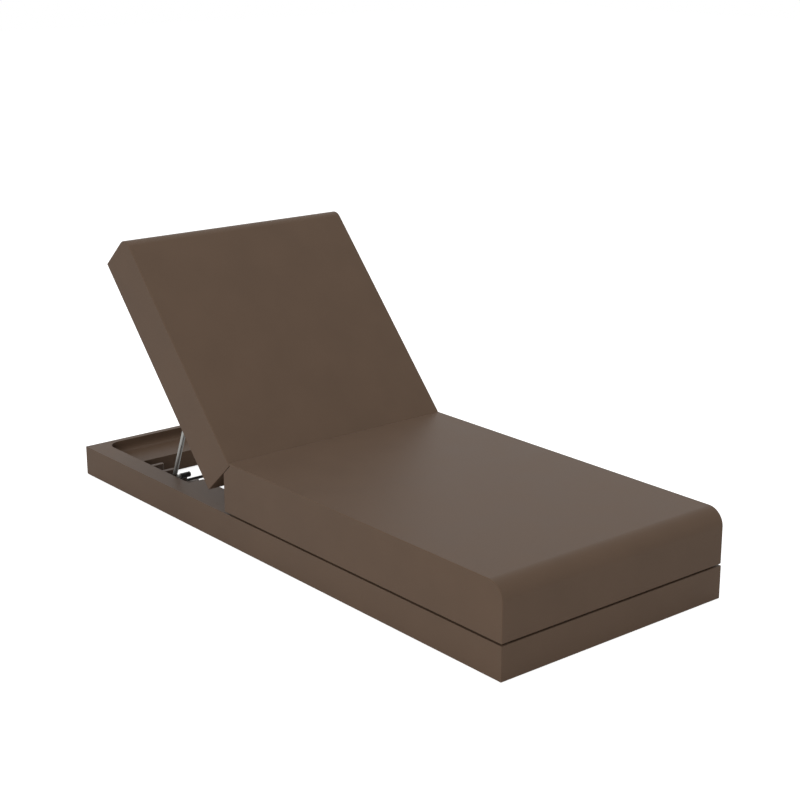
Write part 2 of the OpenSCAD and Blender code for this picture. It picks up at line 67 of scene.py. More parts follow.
# Two points this close are one point, and edges that turn by less than FLAT are no edges. An edge
# that turns by more than SHARP is hard. Cutters run OVERRUN past the faces that they open, and no
# two parts of a shape lie equally far along SLANT.
NEAR = 0.01 * MM
OVERRUN = 1 * MM
SHARP = math.radians(35)
FLAT = math.radians(0.3)
SLANT = Vector((1, math.sqrt(2), math.sqrt(5)))

# Where the turning pieces stand: the raised backrest and the prop, each moved back by its matrix
# to the place that it is drawn in
TILT = next(j for j in frame["joints"] if j["name"] == "backrest_tilt")
FOLD = next(j for j in frame["joints"] if j["name"] == "prop_fold")
HINGE = Vector(TILT["pos_m"])
PIVOT = Vector(FOLD["pos_m"])
BACK_ANGLE = -math.radians(TILT["range_deg"][0])
PROP_LEAN = math.radians(FOLD["range_deg"][1]) - BACK_ANGLE
RAISED = (Matrix.Translation(HINGE) @ Matrix.Rotation(BACK_ANGLE, 4, "Y")
          @ Matrix.Translation(-HINGE))
PROPPED = Matrix.Translation(PIVOT) @ Matrix.Rotation(-PROP_LEAN, 4, "Y")

# Sizes of the seat, base and backrest that the frame's boxes don't give
SHADOW_GAP = 5 * MM
PLINTH_INSET = 14 * MM
PLINTH_REAR = 60 * MM
BOLT_WELL = 36 * MM
BOLT_GRIP = 10 * MM
NOTCH_GAP = 1.2 * MM
POCKET_PLAY = 3 * MM
BAY_DEPTH = 73 * MM
BAY_PLAY = 8 * MM
BAY_END_PLAY = 14 * MM
CHANNEL_HALF = 44 * MM

# Sizes of the racks
RACK_PLAY = 1 * MM
RACK_PLATE = 6 * MM
SHELF_WIDTH = 66 * MM
SHELF_THICK = 16 * MM
TOOTH = 16 * MM
TOOTH_PITCH = 70 * MM
TOOTH_COUNT = 4
RACK_DECK_END = 96 * MM

# Sizes of the prop: the radius of the rod's middle line at its bends, and the caps' wall
AXLE_BEND = 24 * MM
FOOT_BEND = 18 * MM
CAP_WALL = 1.5 * MM

# Sizes of the fixings: the mouldings' wall and the stems that are pushed through it, and the
# screws' shank diameter, head diameter and head height
WALL = 6 * MM
STEM = 12 * MM
BUFFER_STEM = 10 * MM
RACK_SCREW = (5 * MM, 9 * MM, 3 * MM)
SEAT_BOLT = (8 * MM, 13 * MM, 8 * MM)
FIXING_SCREW = (6 * MM, 10 * MM, 4 * MM)

# Radii of the small pieces' edges
RACK_EDGE = 1.5 * MM
SADDLE_EDGE = 1 * MM
PLATE_EDGE = 0.8 * MM
PIN_EDGE = 0.5 * MM
WASHER_EDGE = 0.3 * MM
THIN_EDGE = 0.2 * MM
GLIDE_EDGE = 0.8 * MM
PLUG_EDGE = 1.2 * MM
BUFFER_EDGE = 2 * MM

# Sides of a round shape, large and small, and steps in a rounded edge or a bend
SIDES = 48
SMALL_SIDES = 32
BEND_STEPS = 16
FOOT_ROLL_STEPS = 20
BACK_ROLL_STEPS = 16
TRAY_CORNER_STEPS = 12
COVE_STEPS = 10
WELL_CORNER_STEPS = 8
TOOTH_STEPS = 10
EDGE_STEPS = 4
RACK_EDGE_STEPS = 3

# A moulding's shade: how far it takes to drift from light to dark, the shares of this drift and of
# the grain in it, where its two ends lie between the darkest and lightest point of the noise and
# how light they are. Its roughness drifts by SHEEN_DRIFT either way.
DRIFT = 120 * MM
DRIFT_SHARE = 0.7
GRAIN_SHARE = 0.3
SHADE_ENDS = ((0.35, 0.965), (0.65, 1.035))
SHEEN_DRIFT = 0.04
PLASTIC_IOR = 1.5

# Bare metal: how much its roughness drifts either way, how deep its scuffs are and how much of
# that depth shows
SCUFF_DRIFT = 0.06
SCUFF_DEPTH = 0.02 * MM
SCUFF_SHARE = 0.3

# The studio, in metres: half the floor's width, how white the floor looks by itself to the camera
# and in a mirror, the lamps' width, and where they hang, aimed at the middle of the floor
FLOOR_HALF = 20
FLOOR_GLOW = 0.75
FLOOR_MIRRORED = 0.2
LAMP_WIDTH = 4
KEY_PLACE = (3.8, -7.5, 3.1)
TOP_PLACE = (-1.2, 0.8, 7.8)
SENSOR_MM = 36


# Sizes and colours that a user would change


class LoungerSizes(bpy.types.PropertyGroup):
    """Sizes of the visible pieces that the frame's boxes don't give"""

    edge_radius: FloatProperty(
        name="Edge radius", description="Radius on the mouldings' edges",
        default=2.5 * MM, min=0.5 * MM, max=4 * MM, unit="LENGTH")
    foot_roll: FloatProperty(
        name="Foot roll", description="Radius of the roll at the seat's foot end",
        default=50 * MM, min=20 * MM, max=80 * MM, unit="LENGTH")
    back_roll: FloatProperty(
        name="Backrest roll", description="Radius of the backrest's top front edge",
        default=35 * MM, min=10 * MM, max=60 * MM, unit="LENGTH")
    rear_rim: FloatProperty(
        name="Rear rim", description="Width of the rim across the head end",
        default=22 * MM, min=12 * MM, max=50 * MM, unit="LENGTH")
    deck: FloatProperty(
        name="Side decks", description="Width of the deck on each side of the well",
        default=52 * MM, min=30 * MM, max=80 * MM, unit="LENGTH")
    well_under_seat: FloatProperty(
        name="Well under seat", description="How far the open well runs on under the seat",
        default=55 * MM, min=30 * MM, max=58 * MM, unit="LENGTH")
    cove: FloatProperty(
        name="Tray cove", description="Radius where the tray's walls meet its floor",
        default=20 * MM, min=8 * MM, max=25 * MM, unit="LENGTH")
    tray_corner: FloatProperty(
        name="Tray corners", description="Radius of the tray's upright corners",
        default=45 * MM, min=26 * MM, max=60 * MM, unit="LENGTH")
    well_corner: FloatProperty(
        name="Well corners", description="Radius of the well's upright corners",
        default=10 * MM, min=6 * MM, max=10 * MM, unit="LENGTH")


class LoungerColours(bpy.types.PropertyGroup):
    """Colours of the finishes, as sRGB hex values"""

    slab: StringProperty(
        name="Mouldings", description="Brown of the base, seat and backrest", default="#5F4D3F")
    rack: StringProperty(
        name="Racks", description="Slightly darker brown of the prop racks", default="#5A493D")
    steel: StringProperty(
        name="Steel", description="Tint of the stainless steel", default="#B4B4B1")
    coat: StringProperty(
        name="Tie rod", description="Black of the coated tie rod", default="#1B1A19")
    brass: StringProperty(
        name="Inserts", description="Tint of the threaded brass inserts", default="#B89A5A")
    rubber: StringProperty(
        name="Rubber", description="Near black of glides, buffers and plugs", default="#1C1B1A")
    nylon: StringProperty(
        name="Bushes", description="Off-white of the hinge bushes", default="#D8D5CB")
    saddle: StringProperty(
        name="Saddles", description="Black of the prop's saddles", default="#232222")


class LoungerStage(bpy.types.PropertyGroup):
    """Camera, light and floor"""

    lens: FloatProperty(
        name="Lens", description="Focal length on a 36 mm sensor",
        default=74.674, min=20, max=200, subtype="DISTANCE_CAMERA")
    eye: FloatVectorProperty(
        name="Camera position", description="Where the camera stands",
        default=(3.6476781, -2.8904434, 1.7854728), subtype="XYZ", unit="LENGTH")
    yaw: FloatProperty(
        name="Yaw", description="Turn of the view from +Y towards -X",
        default=math.radians(50.5573), subtype="ANGLE")
    pitch: FloatProperty(
        name="Pitch", description="Fall of the view below level",
        default=math.radians(16.5094), subtype="ANGLE")
    roll: FloatProperty(
        name="Roll", description="Turn of the view about its own axis",
        default=math.radians(-0.0926), subtype="ANGLE")
    floor: StringProperty(
        name="Floor", description="Pale grey of the floor, as an sRGB hex value", default="#E6E6E6")
    sky: FloatProperty(
        name="Sky", description="Strength of the even white surroundings", default=0.5, min=0,
        max=2)
    key: FloatProperty(
        name="Key lamp", description="Power of the large lamp at the near side", default=300,
        min=0, max=2000, unit="POWER")
    top: FloatProperty(
        name="Top lamp", description="Power of the large lamp overhead", default=137,
        min=0, max=2000, unit="POWER")


# Materials


def linear(code):
    """The linear colour of an sRGB hex value"""
    parts = [int(code[i:i + 2], 16) / 255 for i in (1, 3, 5)]
    return [c / 12.92 if c <= 0.04045 else ((c + 0.055) / 1.055) ** 2.4 for c in parts] + [1]


def add(tree, kind, inputs=None, **settings):
    """Adds a node: settings are its own fields, inputs are values or sockets by name or number"""
    made = tree.nodes.new(kind)
    for field, value in settings.items():
        setattr(made, field, value)
    for socket, value in (inputs or {}).items():
        if isinstance(value, bpy.types.NodeSocket):
            tree.links.new(value, made.inputs[socket])
        else:
            made.inputs[socket].default_value = value
    return made


def material(name):
    """A new material and its node tree, still empty"""
    made = bpy.data.materials.new(name)
    made.use_nodes = True
    made.node_tree.nodes.clear()
    return made, made.node_tree


def matt_moulding(name, code, grain, roughness, relief, shine):
    """Moulded plastic or rubber: a shade that drifts over a hand's width and a fine pebbled skin.

    grain is the pebble's size and relief its height, in metres. A real grain is about 0.4 mm,
    which no view of a whole lounger shows, so it is drawn a few times as coarse. shine is the
    strength of its gloss, where 0.5 is plain plastic.
    """
    made, tree = material(name)
    place = add(tree, "ShaderNodeTexCoord").outputs["Object"]
    drift = add(tree, "ShaderNodeTexNoise", {"Vector": place, "Scale": 1 / DRIFT, "Detail": 2})
    pebble = add(tree, "ShaderNodeTexNoise", {"Vector": place, "Scale": 1 / grain, "Detail": 3,
                                              "Roughness": 0.6})
    blend = add(tree, "ShaderNodeMath", {0: drift.outputs["Fac"], 1: DRIFT_SHARE},
                operation="MULTIPLY")
    mix = add(tree, "ShaderNodeMath", {0: pebble.outputs["Fac"], 1: GRAIN_SHARE,
                                       2: blend.outputs[0]}, operation="MULTIPLY_ADD")
    tone = add(tree, "ShaderNodeValToRGB", {"Fac": mix.outputs[0]})
    for stop, (position, level) in zip(tone.color_ramp.elements, SHADE_ENDS):
        stop.position = position
        stop.color = [c * level for c in linear(code)[:3]] + [1]
    sheen = add(tree, "ShaderNodeMapRange", {"Value": drift.outputs["Fac"],
                                             "To Min": roughness - SHEEN_DRIFT,
                                             "To Max": roughness + SHEEN_DRIFT})
    skin = add(tree, "ShaderNodeBump", {"Height": pebble.outputs["Fac"], "Strength": 1,
                                        "Distance": relief})
    body = add(tree, "ShaderNodeBsdfPrincipled", {
        "Base Color": tone.outputs["Color"], "Roughness": sheen.outputs["Result"],
        "IOR": PLASTIC_IOR, "Specular IOR Level": shine, "Normal": skin.outputs["Normal"]})
    add(tree, "ShaderNodeOutputMaterial", {"Surface": body.outputs["BSDF"]})
    return made


def bare_metal(name, code, roughness, grain):
    """Bare metal: an even tint with fine scuffs that change how rough it is and lie a hair deep.

    grain is the scuffs' size in metres, a few times as coarse as real ones so that they show.
    """
    made, tree = material(name)
    place = add(tree, "ShaderNodeTexCoord").outputs["Object"]
    scuff = add(tree, "ShaderNodeTexNoise", {"Vector": place, "Scale": 1 / grain, "Detail": 4})
    rough = add(tree, "ShaderNodeMapRange", {"Value": scuff.outputs["Fac"],
                                             "To Min": roughness - SCUFF_DRIFT,
                                             "To Max": roughness + SCUFF_DRIFT})
    skin = add(tree, "ShaderNodeBump", {"Height": scuff.outputs["Fac"], "Strength": SCUFF_SHARE,
                                        "Distance": SCUFF_DEPTH})
    body = add(tree, "ShaderNodeBsdfPrincipled", {
        "Base Color": linear(code), "Metallic": 1, "Roughness": rough.outputs["Result"],
        "Normal": skin.outputs["Normal"]})
    add(tree, "ShaderNodeOutputMaterial", {"Surface": body.outputs["BSDF"]})
    return made


def finish(name):
    """The named finish, made when it is first asked for"""
    if name in bpy.data.materials:
        return bpy.data.materials[name]
    c = bpy.context.scene.lounger_colours
    makers = {
        # Rotomoulded polyethylene, thick and waxy with the mould's fine grain: even and matt, with
        # a soft sheen at a low angle
        "rotomoulded_polyethylene": lambda n: matt_moulding(
            n, c.slab, grain=1.6 * MM, roughness=0.42, relief=0.04 * MM, shine=0.1),
        # Injection-moulded polypropylene: harder and smoother, so that its edges catch some light
        "moulded_polypropylene": lambda n: matt_moulding(
            n, c.rack, grain=1.4 * MM, roughness=0.5, relief=0.02 * MM, shine=0.35),
        # Stainless steel, drawn through a die: satin, its fine marks blur what it mirrors
        "drawn_stainless_steel": lambda n: bare_metal(
            n, c.steel, roughness=0.45, grain=3 * MM),
        # Steel with a baked powder coat: a black skin with a soft gloss
        "powder_coated_steel": lambda n: matt_moulding(
            n, c.coat, grain=1 * MM, roughness=0.45, relief=0.02 * MM, shine=0.5),
        # Brass, turned: a yellow metal with bright tool marks
        "turned_brass": lambda n: bare_metal(
            n, c.brass, roughness=0.3, grain=2 * MM),
        # Moulded rubber: near black, with a dull gleam along its rounded edges
        "moulded_rubber": lambda n: matt_moulding(
            n, c.rubber, grain=1.2 * MM, roughness=0.5, relief=0.02 * MM, shine=0.6),
        # Nylon in its own colour: off-white and smooth
        "natural_nylon": lambda n: matt_moulding(
            n, c.nylon, grain=1.5 * MM, roughness=0.4, relief=0.01 * MM, shine=0.5),
        # Nylon with black pigment: smooth, with a soft gloss
        "black_nylon": lambda n: matt_moulding(
            n, c.saddle, grain=1.5 * MM, roughness=0.45, relief=0.01 * MM, shine=0.5),
    }
    return makers[name](name)


def dress(coat, *nodes):
    """Gives frame nodes a finish and leaves their meshes alone"""
    for node in nodes:
        slots = frame["nodes"][node].data.materials
        slots.clear()
        slots.append(finish(coat))


# Shapes


def settled(bm):
    """Puts a shape's parts in order along SLANT, because an operator leaves them in any order"""
    bm.verts.sort(key=lambda vert: SLANT.dot(vert.co))
    bm.edges.sort(key=lambda edge: sum(SLANT.dot(vert.co) for vert in edge.verts))
    bm.faces.sort(key=lambda face: SLANT.dot(face.calc_center_median()))
    for parts in (bm.verts, bm.edges, bm.faces):
        parts.index_update()
    return bm


def block(lower, upper):
    """A box from corner to corner"""
    bm = bmesh.new()
    lower, upper = Vector(lower), Vector(upper)
    place = Matrix.Translation((lower + upper) / 2) @ Matrix.Diagonal((*(upper - lower), 1))
    bmesh.ops.create_cube(bm, size=1, matrix=place)
    return bm


def facing(axis, towards=1):
    """The turn that carries +Z to an axis, or to its other way"""
    way = Vector([towards * (i == axis) for i in range(3)])
    return way.to_track_quat("Z", "Y").to_matrix().to_4x4()


def drums(boxes, axis):
    """Cylinders along one axis, one to fill each box"""
    bm = bmesh.new()
    for lower, upper in boxes:
        size = upper - lower
        radius = size[(axis + 1) % 3] / 2
        bmesh.ops.create_cone(
            bm, cap_ends=True, segments=SIDES, radius1=radius, radius2=radius, depth=size[axis],
            matrix=Matrix.Translation((lower + upper) / 2) @ facing(axis))
    return bm


def sharp(edge):
    """A test for the hard edges"""
    return edge.calc_face_angle(0) > SHARP


def along(axis, **at):
    """A test for the edges along an axis that stand at a place, given as x, y or z"""
    def chosen(edge):
        a, b = (vert.co for vert in edge.verts)
        return (abs(abs((a - b).normalized()[axis]) - 1) < NEAR
                and all(abs(a["xyz".index(name)] - value) < NEAR for name, value in at.items()))
    return chosen


def round_off(bm, radius, steps, chosen):
    """Rounds the edges that the test chooses"""
    bmesh.ops.bevel(bm, geom=[edge for edge in bm.edges if chosen(edge)], offset=radius,
                    offset_type="OFFSET", segments=steps, profile=0.5, affect="EDGES",
                    clamp_overlap=True, material=-1)
    bmesh.ops.remove_doubles(bm, verts=bm.verts, dist=NEAR)


def combined(operation, shapes):
    """The first shape with the others joined to it or taken off it; all are used up"""
    made = []
    for shape in shapes:
        mesh = bpy.data.meshes.new("shape")
        settled(shape).to_mesh(mesh)
        shape.free()
        made.append(bpy.data.objects.new("shape", mesh))
        bpy.context.collection.objects.link(made[-1])
    for other in made[1:]:
        step = made[0].modifiers.new("step", "BOOLEAN")
        step.object, step.operation, step.solver = other, operation, "EXACT"
    rest = bmesh.new()
    rest.from_object(made[0], bpy.context.evaluated_depsgraph_get())
    for each in made:
        bpy.data.meshes.remove(each.data)
    bmesh.ops.remove_doubles(rest, verts=rest.verts, dist=NEAR / 10)
    bmesh.ops.dissolve_limit(rest, angle_limit=FLAT, verts=rest.verts, edges=rest.edges)
    return rest


def carved(*shapes):
    """The first shape with the others taken off it"""
    return combined("DIFFERENCE", shapes)


def joined(*shapes):
    """All the shapes as one"""
    return combined("UNION", shapes)


def turned(profile, sides=SIDES):
    """A solid of revolution about +Z from (radius, height) points"""
    bm = bmesh.new()
    verts = [bm.verts.new((radius, 0, height)) for radius, height in profile]
    edges = [bm.edges.new(pair) for pair in zip(verts, verts[1:])]
    bmesh.ops.spin(bm, geom=verts + edges, cent=(0, 0, 0), axis=(0, 0, 1), dvec=(0, 0, 0),
                   angle=math.tau, steps=sides, use_merge=True)
    bmesh.ops.remove_doubles(bm, verts=bm.verts, dist=NEAR / 10)
    return settled(bm)


def fillet(centre, radius, start, end, steps=4):
    """Points of an arc in a profile, from one angle to another in degrees"""
    angles = [math.radians(start + (end - start) * i / steps) for i in range(steps + 1)]
    return [(centre[0] + radius * math.cos(a), centre[1] + radius * math.sin(a)) for a in angles]


def repeated(bm, places):
    """The shape copied to each place, given as a matrix"""
    mesh = bpy.data.meshes.new("one")
    bm.to_mesh(mesh)
    bm.free()
    copies = bmesh.new()
    for place in places:
        before = len(copies.verts)
        copies.from_mesh(mesh)
        copies.verts.ensure_lookup_table()
        bmesh.ops.transform(copies, matrix=place, verts=copies.verts[before:])
    bpy.data.meshes.remove(mesh)
    return copies


def merged(node, place=Matrix()):
    """A copy of a frame node, its loose triangles merged, moved back from its place"""
    bm = bmesh.new()
    bm.from_mesh(frame["nodes"][node].data)
    bmesh.ops.remove_doubles(bm, verts=bm.verts, dist=NEAR)
    bmesh.ops.transform(bm, matrix=place.inverted(), verts=bm.verts)
    return bm


def solids(node, place=Matrix()):
    """The boxes of a node's separate solids, moved back from its place"""
    bm = merged(node, place)
    waiting = set(bm.verts)
    boxes = []
    while waiting:
        reached, found = [waiting.pop()], []
        while reached:
            vert = reached.pop()
            found.append(vert.co.copy())
            near = {edge.other_vert(vert) for edge in vert.link_edges} & waiting
            waiting -= near
            reached.extend(near)
        boxes.append((Vector(map(min, zip(*found))), Vector(map(max, zip(*found)))))
    bm.free()
    return sorted(boxes, key=lambda box: tuple(box[0]))


def whole(node, place=Matrix()):
    """The box of a whole node, moved back from its place"""
    boxes = solids(node, place)
    return (Vector(map(min, zip(*(box[0] for box in boxes)))),
            Vector(map(max, zip(*(box[1] for box in boxes)))))


# Pieces


def piece(name, bm, body, coat, *nodes, place=Matrix()):
    """Makes a piece of a shape at its place, and lets it stand for frame nodes"""
    bmesh.ops.transform(bm, matrix=place, verts=bm.verts)
    bmesh.ops.recalc_face_normals(bm, faces=bm.faces)
    mesh = bpy.data.meshes.new(name)
    settled(bm).to_mesh(mesh)
    bm.free()
    mesh.shade_smooth()
    mesh.set_sharp_from_angle(angle=SHARP)
    mesh.materials.append(finish(coat))
    made = bpy.data.objects.new(name, mesh)
    bpy.context.collection.objects.link(made)
    level = made.modifiers.new("level", "WEIGHTED_NORMAL")
    level.keep_sharp = True
    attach(made, body)
    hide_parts(*nodes)
    return made


def softened(coat, body, radius, *nodes):
    """Copies of frame nodes with their hard edges broken by a small radius"""
    for node in nodes:
        bm = merged(node)
        bmesh.ops.dissolve_limit(bm, angle_limit=FLAT, verts=bm.verts, edges=bm.edges)
        made = piece(node + "_finished", bm, body, coat, node)
        made.modifiers.clear()
        soft = made.modifiers.new("broken edges", "BEVEL")
        soft.width, soft.segments, soft.profile = radius, 2, 0.5
        soft.limit_method, soft.angle_limit, soft.harden_normals = "ANGLE", SHARP, True


def stud(radius, height, stem, soft):
    """A round pad of a height with a stem towards +Z, its lower edge rounded"""
    return turned([(0, -height), *fillet((radius - soft, soft - height), soft, -90, 0),
                   *fillet((radius - soft / 2, -soft / 2), soft / 2, 0, 90),
                   (stem / 2, 0), (stem / 2, WALL), (0, WALL)])


def socket_screw(length, shank, head, head_h):
    """A screw with a round head and a hexagon socket, its shank towards +Z"""
    soft = head_h / 4
    bm = turned([(0, -head_h), *fillet((head / 2 - soft, soft - head_h), soft, -90, 0),
                 (head / 2, 0), (shank / 2, 0), (shank / 2, length - soft),
                 (shank / 2 - soft, length), (0, length)], SMALL_SIDES)
    key = bmesh.new()
    bmesh.ops.create_cone(key, cap_ends=True, segments=6, radius1=head / 4, radius2=head / 4,
                          depth=head_h, matrix=Matrix.Translation((0, 0, -head_h)))
    return carved(bm, key)


def screws(name, body, node, axis, towards, sizes, place=Matrix()):
    """Socket screws in the place of a node's, their shanks towards + or - of an axis.

    sizes are the shank's diameter and the head's diameter and height; towards takes a screw's box.
    """
    shank, head, head_h = sizes
    boxes = solids(node, place)
    length = (boxes[0][1] - boxes[0][0])[axis] - head_h
    places = []
    for box in boxes:
        way = towards(box)
        foot = (box[0] + box[1]) / 2
        foot[axis] = box[way < 0][axis] + way * head_h
        places.append(Matrix.Translation(foot) @ facing(axis, way))
    bm = repeated(socket_screw(length, shank, head, head_h), places)
    piece(name, bm, body, "drawn_stainless_steel", node, place=place)


def pads(name, body, coat, node, stem, soft, place=Matrix()):
    """Round pads with a stem up, in the place of a node's"""
    boxes = solids(node, place)
    lower, upper = boxes[0]
    bm = stud((upper.x - lower.x) / 2, upper.z - lower.z - WALL, stem, soft)
    seats = [Matrix.Translation(((a.x + b.x) / 2, (a.y + b.y) / 2, b.z - WALL)) for a, b in boxes]
    piece(name, repeated(bm, seats), body, coat, node, place=place)


def rack():
    """The near rack: a plate on the well's wall, a shelf and round-ended teeth"""
    lower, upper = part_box("near_prop_rack")
    plate = block(lower, (upper.x, lower.y + RACK_PLATE, upper.z))
    shelf = block(lower, (upper.x, lower.y + SHELF_WIDTH, lower.z + SHELF_THICK))
    teeth = []
    for i in range(TOOTH_COUNT):
        x = upper.x - RACK_DECK_END - i * TOOTH_PITCH
        tooth = block((x - TOOTH / 2, lower.y, lower.z + SHELF_THICK / 2),
                      (x + TOOTH / 2, upper.y, upper.z))
        round_off(tooth, TOOTH / 2, TOOTH_STEPS, along(2, y=upper.y))
        teeth.append(tooth)
    bm = joined(plate, shelf, *teeth)
    round_off(bm, RACK_EDGE, RACK_EDGE_STEPS, sharp)
    return bm


def ring_of(geometry):
    """The edges of a ring that an operator has just made, with both ends in its own vertices"""
    verts = {part for part in geometry if isinstance(part, bmesh.types.BMVert)}
    return [part for part in geometry
            if isinstance(part, bmesh.types.BMEdge) and set(part.verts) <= verts]


def straight(bm, ring, way):
    """Draws a ring of edges straight on and returns the ring at its end"""
    made = bmesh.ops.extrude_edge_only(bm, edges=ring)["geom"]
    verts = [part for part in made if isinstance(part, bmesh.types.BMVert)]
    bmesh.ops.translate(bm, vec=way, verts=verts)
    return ring_of(made)


def quarter(bm, ring, centre):
    """Bends a ring of edges a quarter turn about an axis along Z and returns the ring at its end"""
    verts = list(dict.fromkeys(vert for edge in ring for vert in edge.verts))
    made = bmesh.ops.spin(bm, geom=verts + ring, cent=centre, axis=(0, 0, 1), dvec=(0, 0, 0),
                          angle=math.pi / 2, steps=BEND_STEPS, use_merge=False)
    return ring_of(made["geom_last"])


def bail(radius, leg, half, foot):
    """One rod bent to a bail, drawn from its near foot round to its far foot.

    leg is the legs' length, half their distance from the middle and foot the feet's ends.
    """
    bm = bmesh.new()
    bmesh.ops.create_circle(bm, segments=SMALL_SIDES, radius=radius,
                            matrix=Matrix.Translation((-leg, -foot, 0)) @ facing(1))
    ring = straight(bm, bm.edges[:], (0, foot - half + FOOT_BEND, 0))
    ring = quarter(bm, ring, (FOOT_BEND - leg, FOOT_BEND - half, 0))
    ring = straight(bm, ring, (leg - FOOT_BEND - AXLE_BEND, 0, 0))
    ring = quarter(bm, ring, (-AXLE_BEND, AXLE_BEND - half, 0))
    ring = straight(bm, ring, (0, 2 * (half - AXLE_BEND), 0))
    ring = quarter(bm, ring, (-AXLE_BEND, half - AXLE_BEND, 0))
    ring = straight(bm, ring, (FOOT_BEND + AXLE_BEND - leg, 0, 0))
    ring = quarter(bm, ring, (FOOT_BEND - leg, half - FOOT_BEND, 0))
    straight(bm, ring, (0, foot - half + FOOT_BEND, 0))
    bmesh.ops.holes_fill(bm, edges=[edge for edge in bm.edges if edge.is_boundary])
    return bm


# Operators


class LOUNGER_OT_base(bpy.types.Operator):
    """Build the base: a moulding with a tray at the head end and an open well"""

    bl_idname = "lounger.base"
    bl_label = "Base"

    def execute(self, context):
        sizes = context.scene.lounger_sizes
        lower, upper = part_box("base_frame")
        rack_low, rack_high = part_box("near_prop_rack")
        side, ledge = rack_low.y, rack_high.z
        tray_x = lower.x + sizes.rear_rim
        well_x = rack_low.x - sizes.well_corner - RACK_PLAY
        deck_x = rack_high.x + RACK_PLAY
        front_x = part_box("seat_shell")[0].x + sizes.well_under_seat
        under, over = lower.z - OVERRUN, upper.z + OVERRUN

        tray = block((tray_x, side, ledge), (deck_x, -side, upper.z + 2 * sizes.cove))
        round_off(tray, sizes.tray_corner, TRAY_CORNER_STEPS, along(2, x=tray_x))
        round_off(tray, sizes.cove, COVE_STEPS,
                  lambda edge: all(abs(vert.co.z - ledge) < NEAR for vert in edge.verts)
                  and not along(1, x=deck_x)(edge))
        wide = block((well_x, side, under), (deck_x, -side, over))
        round_off(wide, sizes.well_corner, WELL_CORNER_STEPS, along(2, x=well_x))
        narrow = block((deck_x - OVERRUN, side + sizes.deck, under),
                       (front_x, -side - sizes.deck, over))
        round_off(narrow, sizes.well_corner, WELL_CORNER_STEPS, along(2, x=front_x))
        bm = carved(block(lower, upper), tray, wide, narrow)
        round_off(bm, sizes.edge_radius, EDGE_STEPS, sharp)

        reach = Vector((BOLT_WELL / 2, BOLT_WELL / 2, 0))
        floor, roof = Vector((0, 0, under)), Vector((0, 0, upper.z - BOLT_GRIP))
        middles = [((a + b) / 2 * Vector((1, 1, 0))) for a, b in solids("seat_bolts")]
        bm = carved(bm, drums([(at - reach + floor, at + reach + roof) for at in middles], 2))
        piece("base_tray", bm, "base", "rotomoulded_polyethylene", "base_frame")
        return {"FINISHED"}


class LOUNGER_OT_seat(bpy.types.Operator):
    """Build the seat slab with its rolled foot end, hinge pockets and plinth"""

    bl_idname = "lounger.seat"
    bl_label = "Seat"

    def execute(self, context):
        sizes = context.scene.lounger_sizes
        lower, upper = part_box("seat_shell")
        bottom = lower.z + SHADOW_GAP
        bm = block((lower.x, lower.y, bottom), upper)
        round_off(bm, sizes.foot_roll, FOOT_ROLL_STEPS, along(1, x=upper.x, z=upper.z))

        flat_low, flat_high = whole("back_shell", RAISED)
        corner = RAISED @ Vector((flat_high.x, 0, flat_high.z))
        thick = flat_high.z - flat_low.z
        notch = block((-NOTCH_GAP, 2 * lower.y, -NOTCH_GAP), (thick, 2 * upper.y, thick))
        bmesh.ops.transform(notch, verts=notch.verts, matrix=Matrix.Translation(corner)
                            @ Matrix.Rotation(BACK_ANGLE - math.pi, 4, "Y"))
        play = Vector((0, POCKET_PLAY, POCKET_PLAY))
        pockets = []
        for node in ("near_seat_hinge_bracket", "far_seat_hinge_bracket"):
            a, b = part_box(node)
            pockets.append(block(Vector((lower.x - OVERRUN, a.y, a.z)) - play, b + play))
        bm = carved(bm, notch, *pockets)
        round_off(bm, sizes.edge_radius, EDGE_STEPS, sharp)

        plinth = block((lower.x + PLINTH_REAR, lower.y + PLINTH_INSET, lower.z),
                       (upper.x - PLINTH_INSET, upper.y - PLINTH_INSET, bottom + OVERRUN))
        bm = carved(joined(bm, plinth), drums(solids("seat_inserts"), 2),
                    drums(solids("seat_bracket_inserts"), 0))
        piece("seat_slab", bm, "base", "rotomoulded_polyethylene", "seat_shell")
        return {"FINISHED"}


class LOUNGER_OT_backrest(bpy.types.Operator):
    """Build the backrest slab with its rolled top, hinge pockets and the bay for the prop"""

    bl_idname = "lounger.backrest"
    bl_label = "Backrest"

    def execute(self, context):
        sizes = context.scene.lounger_sizes
        lower, upper = whole("back_shell", RAISED)
        bm = block(lower, upper)
        round_off(bm, sizes.back_roll, BACK_ROLL_STEPS, along(1, x=lower.x, z=upper.z))

        play = Vector((0, POCKET_PLAY, POCKET_PLAY))
        pockets = []
        for node in ("near_back_hinge_tongue", "far_back_hinge_tongue"):
            a, b = whole(node, RAISED)
            pockets.append(block(a - play, Vector((upper.x + OVERRUN, b.y, b.z)) + play))

        rod_low, rod_high = whole("prop_bail", PROPPED)
        cap_high = whole("near_prop_foot_cap", PROPPED)[1]
        axle = RAISED.inverted() @ PIVOT
        out = rod_high.y + BAY_PLAY
        inner = -cap_high.y - BAY_PLAY
        head_x = axle.x + rod_low.x - BAY_END_PLAY
        under, roof = lower.z - OVERRUN, lower.z + BAY_DEPTH
        bay = [block((axle.x - CHANNEL_HALF, -out, under), (axle.x + CHANNEL_HALF, out, roof))]
        for a, b in ((-out, -inner), (inner, out)):
            bay.append(block((head_x, a, under), (axle.x, b, roof)))
        bm = carved(bm, *pockets, *bay)
        round_off(bm, sizes.edge_radius, EDGE_STEPS, sharp)

        bm = carved(bm, drums(solids("back_tongue_inserts", RAISED), 0),
                    drums(solids("prop_saddle_inserts", RAISED), 2))
        piece("back_slab", bm, "backrest", "rotomoulded_polyethylene", "back_shell", place=RAISED)
        return {"FINISHED"}


